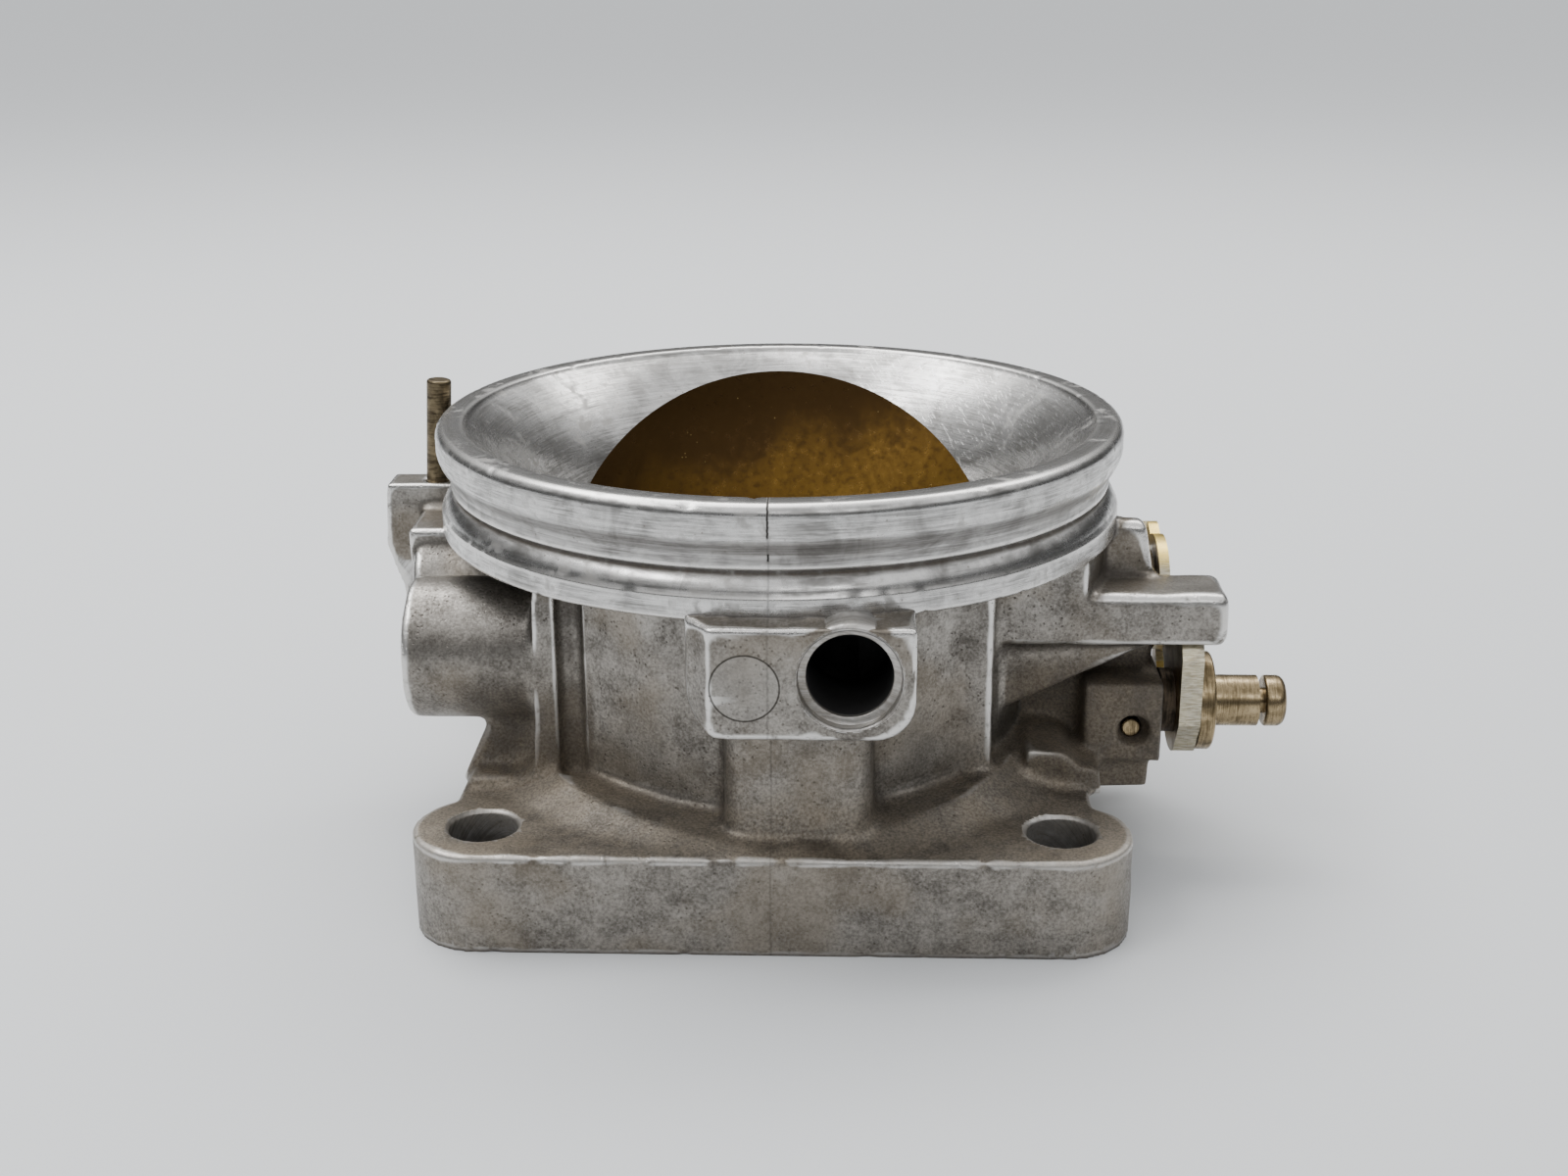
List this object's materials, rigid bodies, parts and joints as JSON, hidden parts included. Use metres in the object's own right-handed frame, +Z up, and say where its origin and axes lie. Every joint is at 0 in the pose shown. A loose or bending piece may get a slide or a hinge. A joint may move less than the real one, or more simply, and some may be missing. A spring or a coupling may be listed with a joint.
{
  "type": "throttle body",
  "caption": "Cast throttle body with a bell mouth, butterfly plate on a cross shaft, and a relay lever with a guide slot and roller.",
  "frame": {"origin": "centre of the throat on the flange's bottom face", "axes": "+Z up the throat towards the bell mouth; X along the throttle shaft, +X at the lever end; the idle-air port faces -Y"},
  "size_m": [0.1447, 0.1107, 0.073],
  "materials": {
    "cast_aluminium": "sand-cast aluminium, stained, bright on worn edges, machined lip",
    "brass_plate": "brass with brown fuel varnish",
    "bright_steel": "turned steel, dull",
    "yellow_zinc": "yellow-passivated zinc on stamped steel, worn to silver on cut edges",
    "bronze_steel": "turned steel gone bronze brown",
    "sintered_bronze": "oil-filled sintered bronze",
    "seal_rubber": "black rubber",
    "roller_plastic": "dark moulded nylon"
  },
  "bodies": {
    "root": {"throttle_housing": "cast_aluminium", "relay_axle": "bronze_steel", "relay_washer": "bright_steel", "retaining_dowel": "bronze_steel", "spring_post": "bronze_steel", "shaft_bush_left": "sintered_bronze", "shaft_bush_right": "sintered_bronze", "shaft_seal_left": "seal_rubber", "shaft_seal_right": "seal_rubber", "shaft_end_plug": "bright_steel", "boss_plug": "bright_steel", "stop_screw": "yellow_zinc", "stop_screw_nut": "yellow_zinc"},
    "throttle": {"throttle_plate": "brass_plate", "throttle_shaft": "bright_steel", "plate_screws": "brass_plate", "throttle_lever": "yellow_zinc", "roller_stud": "bright_steel", "guide_roller": "roller_plastic", "shaft_clip": "bright_steel"},
    "relay": {"relay_lever": "yellow_zinc", "relay_bush": "sintered_bronze"}
  },
  "joints": [
    {"name": "throttle_hinge", "type": "hinge", "parent": "root", "child": "throttle", "pos_m": [0, 0, 0.0377], "axis": [1, 0, 0], "range_deg": [-76, 0]},
    {"name": "relay_hinge", "type": "hinge", "parent": "root", "child": "relay", "pos_m": [0.063, -0.013, 0.0242], "axis": [1, 0, 0], "range_deg": [0, 38]}
  ],
  "couplings": [
    {"joint": "relay_hinge", "follows": "throttle_hinge", "ratio": -0.5}
  ]
}
